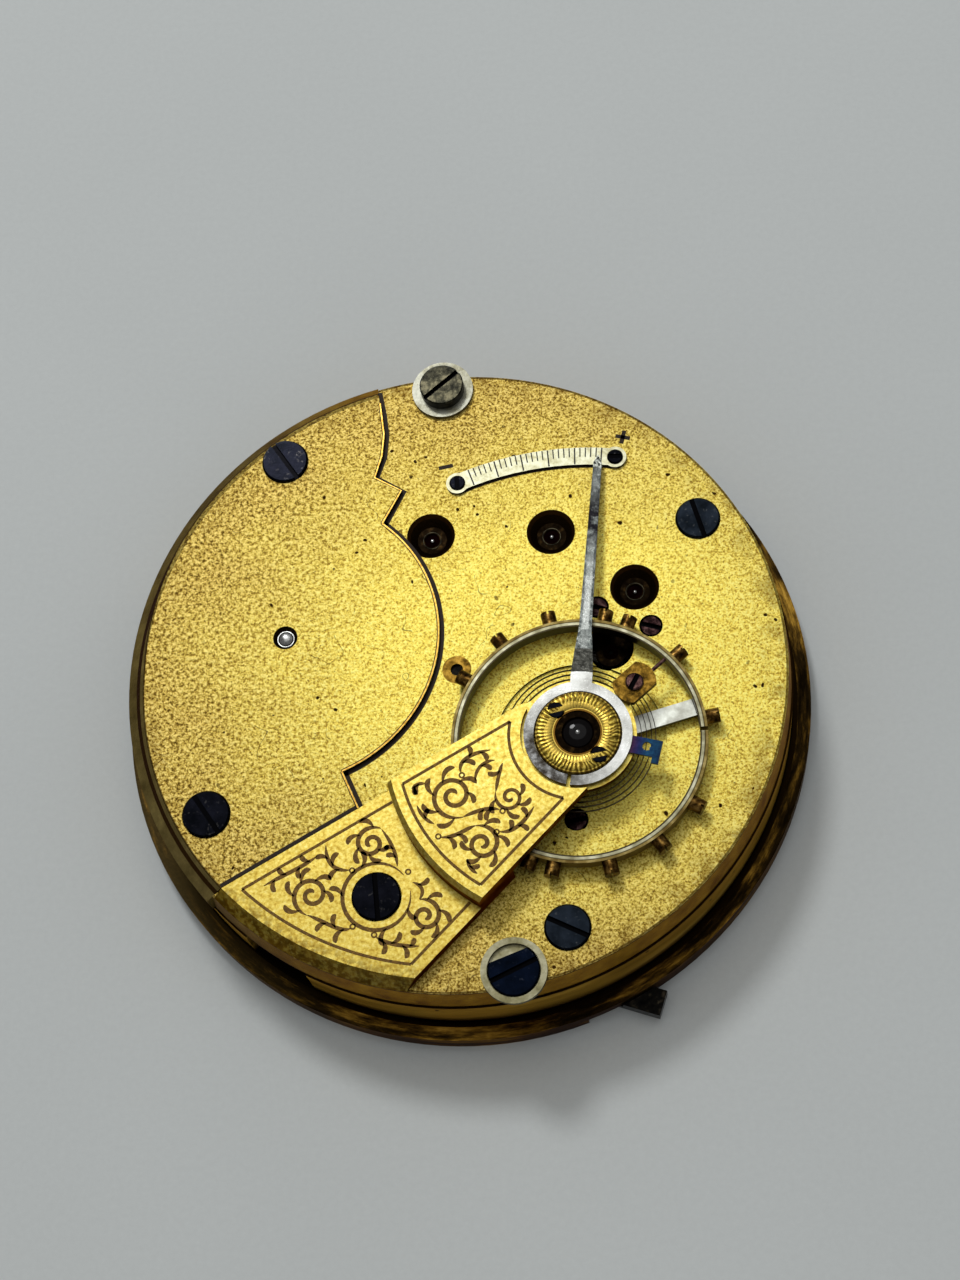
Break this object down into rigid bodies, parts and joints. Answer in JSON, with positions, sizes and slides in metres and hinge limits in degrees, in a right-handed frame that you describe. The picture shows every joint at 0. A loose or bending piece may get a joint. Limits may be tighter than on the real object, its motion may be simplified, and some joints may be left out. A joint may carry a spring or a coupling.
{
  "type": "pocket watch movement",
  "caption": "Round full plate pocket watch movement with gilt plates, an open compensation balance under a cock, a going train and stem winding.",
  "frame": {"origin": "center of the round rim on the dial side, on the center wheel's axis", "axes": "+Z out of the back, along every arbor; +X right and +Y up as the back is seen with the barrel at the left"},
  "size_m": [0.0448, 0.0448, 0.0104],
  "materials": {
    "gilt": "frosted gilt",
    "gilt_cap": "gilt, sunburst brushed",
    "steel": "polished",
    "grey_steel": "ground",
    "spring_steel": "blued grey",
    "blued_steel": "blued",
    "gunmetal": "dark oxide",
    "nickel": "nickel plate, worn",
    "balance_metal": "pale bimetal, polished",
    "bronze": "dark toned",
    "tarnished_brass": "tarnished",
    "jewel": "polished stone"
  },
  "bodies": {
    "plates": {"pillar_plate": "gilt", "top_plate": "gilt", "barrel_bridge": "gilt", "balance_cock": "gilt", "top_plate_screws": "blued_steel", "barrel_bridge_screws": "blued_steel", "cock_screw": "blued_steel", "small_plate_screws": "blued_steel", "case_screw": "gunmetal", "case_washer": "nickel", "half_head_case_screw": "blued_steel", "cup_washer": "nickel", "center_bush": "gilt", "train_jewels": "jewel", "jewel_settings": "gilt", "pallet_cock": "gilt", "banking_pins": "steel", "potence": "gilt", "hairspring_stud": "tarnished_brass", "stud_pins": "gunmetal", "balance_cap": "gilt_cap", "cap_screws": "blued_steel", "balance_jewels": "jewel", "index_scale": "steel", "index_screws": "blued_steel", "keyless_screws": "blued_steel", "click_spring": "spring_steel"},
    "barrel": {"mainspring_barrel": "gilt", "barrel_cover": "gilt", "mainspring": "spring_steel"},
    "winding_arbor": {"barrel_arbor": "steel", "ratchet_wheel": "grey_steel"},
    "center": {"center_arbor": "steel", "center_wheel": "gilt", "cannon_pinion": "steel"},
    "third": {"third_arbor": "steel", "third_wheel": "gilt"},
    "fourth": {"fourth_arbor": "steel", "fourth_wheel": "gilt"},
    "escape": {"escape_arbor": "steel", "escape_wheel": "gilt"},
    "lever": {"pallet_arbor": "steel", "pallets": "steel", "pallet_stones": "jewel", "fork": "gilt"},
    "balance": {"balance_staff": "steel", "balance_wheel": "balance_metal", "balance_screws": "bronze", "roller": "steel", "impulse_pin": "jewel", "hairspring": "spring_steel", "collet": "gilt"},
    "regulator_index": {"regulator": "steel", "curb_arm": "blued_steel"},
    "crown": {"crown_wheel": "grey_steel"},
    "stem_pinion": {"winding_pinion": "steel"},
    "click_pawl": {"click": "grey_steel"},
    "lever_set": {"setting_lever": "grey_steel"},
    "minute": {"minute_wheel": "gilt"},
    "hour": {"hour_wheel": "gilt"}
  },
  "joints": [
    {"name": "fourth_turn", "type": "hinge", "parent": "plates", "child": "fourth", "pos_m": [0.00583, 0.00945, 0.0045], "axis": [0, 0, 1], "continuous": true},
    {"name": "third_turn", "type": "hinge", "parent": "plates", "child": "third", "pos_m": [-0.00197, 0.0093, 0.0045], "axis": [0, 0, 1], "continuous": true},
    {"name": "center_turn", "type": "hinge", "parent": "plates", "child": "center", "pos_m": [0, 0, 0.0045], "axis": [0, 0, 1], "continuous": true},
    {"name": "barrel_turn", "type": "hinge", "parent": "plates", "child": "barrel", "pos_m": [-0.0111, 0.0022, 0.0033], "axis": [0, 0, 1], "continuous": true},
    {"name": "escape_turn", "type": "hinge", "parent": "plates", "child": "escape", "pos_m": [0.01124, 0.0055, 0.0045], "axis": [0, 0, 1], "continuous": true},
    {"name": "minute_turn", "type": "hinge", "parent": "plates", "child": "minute", "pos_m": [0.00291, -0.00168, 0.0009], "axis": [0, 0, 1], "continuous": true},
    {"name": "hour_turn", "type": "hinge", "parent": "plates", "child": "hour", "pos_m": [0, 0, 0.0003], "axis": [0, 0, 1], "continuous": true},
    {"name": "crown_turn", "type": "hinge", "parent": "plates", "child": "crown", "pos_m": [-0.0066, -0.01073, 0.0007], "axis": [0, 0, 1], "continuous": true},
    {"name": "ratchet_turn", "type": "hinge", "parent": "plates", "child": "winding_arbor", "pos_m": [-0.0111, 0.0022, 0.0007], "axis": [0, 0, 1], "continuous": true},
    {"name": "stem_turn", "type": "hinge", "parent": "plates", "child": "stem_pinion", "pos_m": [-0.00917, -0.01491, 0.00255], "axis": [-0.524, -0.8517, 0], "continuous": true},
    {"name": "balance_swing", "type": "hinge", "parent": "plates", "child": "balance", "pos_m": [0.00788, -0.00515, 0.0085], "axis": [0, 0, 1], "range_deg": [-270, 270], "deforming": ["hairspring"]},
    {"name": "lever_rock", "type": "hinge", "parent": "plates", "child": "lever", "pos_m": [0.0097, 0.0014, 0.005], "axis": [0, 0, 1], "range_deg": [-5, 5]},
    {"name": "regulator_turn", "type": "hinge", "parent": "plates", "child": "regulator_index", "pos_m": [0.00788, -0.00515, 0.01], "axis": [0, 0, 1], "range_deg": [-1, 24]},
    {"name": "click_turn", "type": "hinge", "parent": "plates", "child": "click_pawl", "pos_m": [-0.01291, 0.01244, 0.0007], "axis": [0, 0, 1], "range_deg": [0, 5]},
    {"name": "setting_lever_turn", "type": "hinge", "parent": "plates", "child": "lever_set", "pos_m": [0.0036, -0.0172, 0.0005], "axis": [0, 0, 1], "range_deg": [-13, 0]}
  ],
  "couplings": [
    {"joint": "third_turn", "follows": "fourth_turn", "ratio": -0.13333},
    {"joint": "center_turn", "follows": "fourth_turn", "ratio": 0.016667},
    {"joint": "barrel_turn", "follows": "fourth_turn", "ratio": -0.0025641},
    {"joint": "escape_turn", "follows": "fourth_turn", "ratio": -10},
    {"joint": "minute_turn", "follows": "fourth_turn", "ratio": -0.0055556},
    {"joint": "hour_turn", "follows": "fourth_turn", "ratio": 0.0013889},
    {"joint": "ratchet_turn", "follows": "crown_turn", "ratio": -0.61111},
    {"joint": "stem_turn", "follows": "crown_turn", "ratio": 3}
  ]
}
